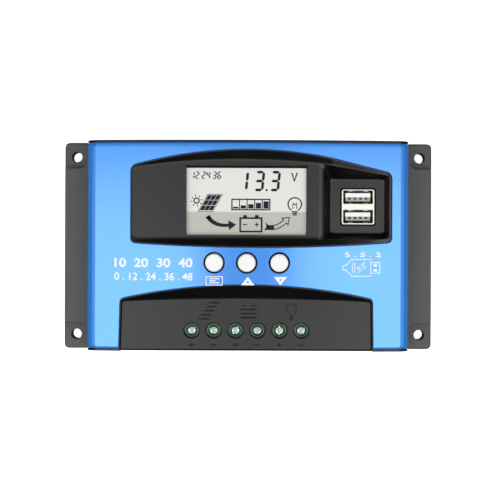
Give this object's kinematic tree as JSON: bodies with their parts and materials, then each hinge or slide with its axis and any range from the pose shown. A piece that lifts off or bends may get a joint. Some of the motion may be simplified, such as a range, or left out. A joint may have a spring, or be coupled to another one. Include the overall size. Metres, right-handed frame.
{
  "type": "solar charge controller",
  "caption": "Flat box with an arched metal cover, a display, push buttons, two charging sockets, a row of screw terminals and an ear with mounting holes at each end.",
  "frame": {"origin": "middle of the flat back face, on the surface that the back rests on", "axes": "+Z out of the arched face, +X along the length to the viewer's right, +Y across the width towards the display"},
  "size_m": [0.166, 0.093, 0.0405],
  "materials": {
    "black_plastic": "satin black moulded plastic, finely textured",
    "blue_metal": "anodised blue sheet with a fine brushed grain",
    "white_plastic": "satin",
    "green_plastic": "satin",
    "dark_plastic": "matte",
    "display_glass": "clear, smooth",
    "light_guide": "diffusing white",
    "circuit_board": "green solder mask",
    "steel": "nickel plated",
    "brass": "bare",
    "aluminium": "extruded, satin",
    "copper": "enamelled copper wire",
    "silicone": "soft matte"
  },
  "bodies": {
    "case": {"rear_case": "black_plastic", "front_housing": "black_plastic", "face_cover": "blue_metal", "lcd_window": "display_glass", "lcd_glass": "display_glass", "lcd_backlight": "light_guide", "display_board": "circuit_board", "display_screw_1": "steel", "display_screw_2": "steel", "usb_shell": "steel", "usb_tongue_upper": "white_plastic", "usb_tongue_lower": "white_plastic", "usb_board": "circuit_board", "usb_header": "dark_plastic", "tact_switch_left": "dark_plastic", "tact_switch_middle": "dark_plastic", "tact_switch_right": "dark_plastic", "terminal_block": "green_plastic", "contact_bar_1": "brass", "contact_bar_2": "brass", "contact_bar_3": "brass", "contact_bar_4": "brass", "contact_bar_5": "brass", "contact_bar_6": "brass", "power_board": "circuit_board", "board_header": "dark_plastic", "controller_chip": "dark_plastic", "choke": "copper", "capacitor_1": "aluminium", "capacitor_2": "aluminium", "mosfet_1": "dark_plastic", "mosfet_2": "dark_plastic", "mosfet_3": "dark_plastic", "mosfet_4": "dark_plastic", "thermal_pad": "silicone", "heat_sink": "aluminium", "heat_sink_screw_1": "steel", "heat_sink_screw_2": "steel", "case_screw_1": "steel", "case_screw_2": "steel", "case_screw_3": "steel", "case_screw_4": "steel"},
    "button_left": {"button_left": "white_plastic"},
    "plunger_left": {"tact_plunger_left": "white_plastic"},
    "button_middle": {"button_middle": "white_plastic"},
    "plunger_middle": {"tact_plunger_middle": "white_plastic"},
    "button_right": {"button_right": "white_plastic"},
    "plunger_right": {"tact_plunger_right": "white_plastic"},
    "terminal_screw_1": {"terminal_screw_1": "steel"},
    "wire_clamp_1": {"wire_clamp_1": "steel"},
    "terminal_screw_2": {"terminal_screw_2": "steel"},
    "wire_clamp_2": {"wire_clamp_2": "steel"},
    "terminal_screw_3": {"terminal_screw_3": "steel"},
    "wire_clamp_3": {"wire_clamp_3": "steel"},
    "terminal_screw_4": {"terminal_screw_4": "steel"},
    "wire_clamp_4": {"wire_clamp_4": "steel"},
    "terminal_screw_5": {"terminal_screw_5": "steel"},
    "wire_clamp_5": {"wire_clamp_5": "steel"},
    "terminal_screw_6": {"terminal_screw_6": "steel"},
    "wire_clamp_6": {"wire_clamp_6": "steel"}
  },
  "joints": [
    {"name": "button_left_press", "type": "slide", "parent": "case", "child": "button_left", "axis": [0, 0, -1], "range_m": [0, 0.0005], "stiffness_N_per_m": 400},
    {"name": "plunger_left_press", "type": "slide", "parent": "case", "child": "plunger_left", "axis": [0, 0, -1], "range_m": [0, 0.0005]},
    {"name": "button_middle_press", "type": "slide", "parent": "case", "child": "button_middle", "axis": [0, 0, -1], "range_m": [0, 0.0005], "stiffness_N_per_m": 400},
    {"name": "plunger_middle_press", "type": "slide", "parent": "case", "child": "plunger_middle", "axis": [0, 0, -1], "range_m": [0, 0.0005]},
    {"name": "button_right_press", "type": "slide", "parent": "case", "child": "button_right", "axis": [0, 0, -1], "range_m": [0, 0.0005], "stiffness_N_per_m": 400},
    {"name": "plunger_right_press", "type": "slide", "parent": "case", "child": "plunger_right", "axis": [0, 0, -1], "range_m": [0, 0.0005]},
    {"name": "terminal_screw_1_turn", "type": "hinge", "parent": "case", "child": "terminal_screw_1", "pos_m": [-0.02425, -0.0367, 0.0303], "axis": [0, 0, -1], "range_deg": [0, 2160]},
    {"name": "wire_clamp_1_rise", "type": "slide", "parent": "case", "child": "wire_clamp_1", "axis": [0, 0, 1], "range_m": [0, 0.0042]},
    {"name": "terminal_screw_2_turn", "type": "hinge", "parent": "case", "child": "terminal_screw_2", "pos_m": [-0.01475, -0.0367, 0.0303], "axis": [0, 0, -1], "range_deg": [0, 2160]},
    {"name": "wire_clamp_2_rise", "type": "slide", "parent": "case", "child": "wire_clamp_2", "axis": [0, 0, 1], "range_m": [0, 0.0042]},
    {"name": "terminal_screw_3_turn", "type": "hinge", "parent": "case", "child": "terminal_screw_3", "pos_m": [-0.00525, -0.0367, 0.0303], "axis": [0, 0, -1], "range_deg": [0, 2160]},
    {"name": "wire_clamp_3_rise", "type": "slide", "parent": "case", "child": "wire_clamp_3", "axis": [0, 0, 1], "range_m": [0, 0.0042]},
    {"name": "terminal_screw_4_turn", "type": "hinge", "parent": "case", "child": "terminal_screw_4", "pos_m": [0.00425, -0.0367, 0.0303], "axis": [0, 0, -1], "range_deg": [0, 2160]},
    {"name": "wire_clamp_4_rise", "type": "slide", "parent": "case", "child": "wire_clamp_4", "axis": [0, 0, 1], "range_m": [0, 0.0042]},
    {"name": "terminal_screw_5_turn", "type": "hinge", "parent": "case", "child": "terminal_screw_5", "pos_m": [0.01375, -0.0367, 0.0303], "axis": [0, 0, -1], "range_deg": [0, 2160]},
    {"name": "wire_clamp_5_rise", "type": "slide", "parent": "case", "child": "wire_clamp_5", "axis": [0, 0, 1], "range_m": [0, 0.0042]},
    {"name": "terminal_screw_6_turn", "type": "hinge", "parent": "case", "child": "terminal_screw_6", "pos_m": [0.02325, -0.0367, 0.0303], "axis": [0, 0, -1], "range_deg": [0, 2160]},
    {"name": "wire_clamp_6_rise", "type": "slide", "parent": "case", "child": "wire_clamp_6", "axis": [0, 0, 1], "range_m": [0, 0.0042]}
  ],
  "couplings": [
    {"joint": "plunger_left_press", "follows": "button_left_press", "ratio": 1},
    {"joint": "plunger_middle_press", "follows": "button_middle_press", "ratio": 1},
    {"joint": "plunger_right_press", "follows": "button_right_press", "ratio": 1},
    {"joint": "terminal_screw_1_turn", "follows": "wire_clamp_1_rise", "rad_per_m": 8975.9},
    {"joint": "terminal_screw_2_turn", "follows": "wire_clamp_2_rise", "rad_per_m": 8975.9},
    {"joint": "terminal_screw_3_turn", "follows": "wire_clamp_3_rise", "rad_per_m": 8975.9},
    {"joint": "terminal_screw_4_turn", "follows": "wire_clamp_4_rise", "rad_per_m": 8975.9},
    {"joint": "terminal_screw_5_turn", "follows": "wire_clamp_5_rise", "rad_per_m": 8975.9},
    {"joint": "terminal_screw_6_turn", "follows": "wire_clamp_6_rise", "rad_per_m": 8975.9}
  ]
}
